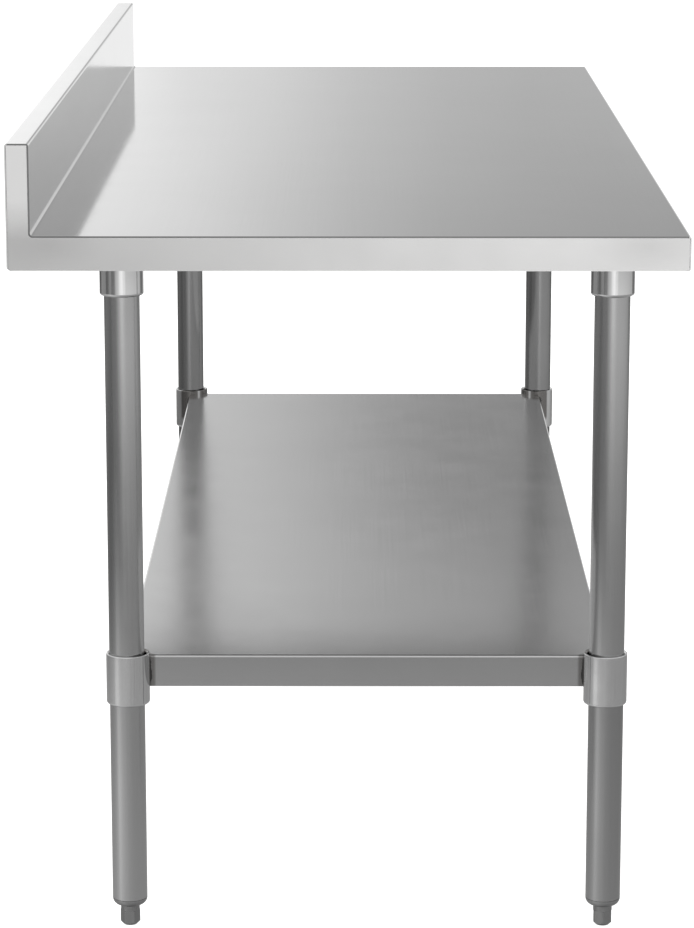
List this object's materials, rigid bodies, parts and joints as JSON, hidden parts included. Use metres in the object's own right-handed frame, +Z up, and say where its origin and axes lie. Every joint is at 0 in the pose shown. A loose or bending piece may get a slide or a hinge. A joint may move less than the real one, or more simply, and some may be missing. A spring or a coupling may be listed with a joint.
{
  "type": "work table",
  "caption": "Stainless steel work table with a raised rear backsplash, tubular legs on screw-in levelling feet and a height-adjustable undershelf.",
  "frame": {"origin": "on the floor under the middle of the table's box", "axes": "+X along the table's length, +Y towards the backsplash, +Z up"},
  "size_m": [1.8288, 0.762, 0.949],
  "materials": {
    "satin_sheet": "fine satin, brushed along the length",
    "end_panel": "satin, ground flush at its welds",
    "shelf_sheet": "satin, brushed along the length",
    "leg_tube": "brushed tube with drawn vertical streaks",
    "polished_collar": "polished",
    "sleeve_collar": "bright satin",
    "foot_metal": "dull, lightly scuffed",
    "galvanised": "galvanised with a fine spangle",
    "fasteners": "bright zinc",
    "weld_bead": "rough, heat-tinted"
  },
  "bodies": {
    "table": {"worktop": "satin_sheet", "left_end_panel": "end_panel", "right_end_panel": "end_panel", "cross_channel_left": "galvanised", "cross_channel_right": "galvanised", "long_channel": "galvanised", "channel_studs": "fasteners", "channel_nuts": "fasteners", "socket_bolts": "fasteners", "socket_nuts": "fasteners", "socket_set_screws": "fasteners", "leg_socket_front_left": "polished_collar", "leg_front_left": "leg_tube", "foot_insert_front_left": "foot_metal", "leg_socket_rear_left": "polished_collar", "leg_rear_left": "leg_tube", "foot_insert_rear_left": "foot_metal", "leg_socket_front_right": "polished_collar", "leg_front_right": "leg_tube", "foot_insert_front_right": "foot_metal", "leg_socket_rear_right": "polished_collar", "leg_rear_right": "leg_tube", "foot_insert_rear_right": "foot_metal"},
    "shelf": {"undershelf": "shelf_sheet", "shelf_channel": "galvanised", "shelf_channel_studs": "fasteners", "shelf_channel_nuts": "fasteners", "sleeve_set_screws": "fasteners", "sleeve_welds": "weld_bead", "sleeve_front_left": "sleeve_collar", "sleeve_rear_left": "sleeve_collar", "sleeve_front_right": "sleeve_collar", "sleeve_rear_right": "sleeve_collar"},
    "stud_front_left": {"foot_stud_front_left": "fasteners"},
    "foot_front_left": {"foot_front_left": "foot_metal"},
    "stud_rear_left": {"foot_stud_rear_left": "fasteners"},
    "foot_rear_left": {"foot_rear_left": "foot_metal"},
    "stud_front_right": {"foot_stud_front_right": "fasteners"},
    "foot_front_right": {"foot_front_right": "foot_metal"},
    "stud_rear_right": {"foot_stud_rear_right": "fasteners"},
    "foot_rear_right": {"foot_rear_right": "foot_metal"}
  },
  "joints": [
    {"name": "shelf_slide", "type": "slide", "parent": "table", "child": "shelf", "axis": [0, 0, 1], "range_m": [-0.2, 0.4]},
    {"name": "foot_screw_front_left", "type": "slide", "parent": "table", "child": "stud_front_left", "axis": [0, 0, -1], "range_m": [0, 0.0254]},
    {"name": "foot_turn_front_left", "type": "hinge", "parent": "stud_front_left", "child": "foot_front_left", "pos_m": [-0.799, -0.3025, 0], "axis": [0, 0, -1], "range_deg": [0, 3960]},
    {"name": "foot_screw_rear_left", "type": "slide", "parent": "table", "child": "stud_rear_left", "axis": [0, 0, -1], "range_m": [0, 0.0254]},
    {"name": "foot_turn_rear_left", "type": "hinge", "parent": "stud_rear_left", "child": "foot_rear_left", "pos_m": [-0.799, 0.261, 0], "axis": [0, 0, -1], "range_deg": [0, 3960]},
    {"name": "foot_screw_front_right", "type": "slide", "parent": "table", "child": "stud_front_right", "axis": [0, 0, -1], "range_m": [0, 0.0254]},
    {"name": "foot_turn_front_right", "type": "hinge", "parent": "stud_front_right", "child": "foot_front_right", "pos_m": [0.799, -0.3025, 0], "axis": [0, 0, -1], "range_deg": [0, 3960]},
    {"name": "foot_screw_rear_right", "type": "slide", "parent": "table", "child": "stud_rear_right", "axis": [0, 0, -1], "range_m": [0, 0.0254]},
    {"name": "foot_turn_rear_right", "type": "hinge", "parent": "stud_rear_right", "child": "foot_rear_right", "pos_m": [0.799, 0.261, 0], "axis": [0, 0, -1], "range_deg": [0, 3960]}
  ],
  "couplings": [
    {"joint": "foot_turn_front_left", "follows": "foot_screw_front_left", "rad_per_m": 2721.1},
    {"joint": "foot_turn_rear_left", "follows": "foot_screw_rear_left", "rad_per_m": 2721.1},
    {"joint": "foot_turn_front_right", "follows": "foot_screw_front_right", "rad_per_m": 2721.1},
    {"joint": "foot_turn_rear_right", "follows": "foot_screw_rear_right", "rad_per_m": 2721.1}
  ]
}
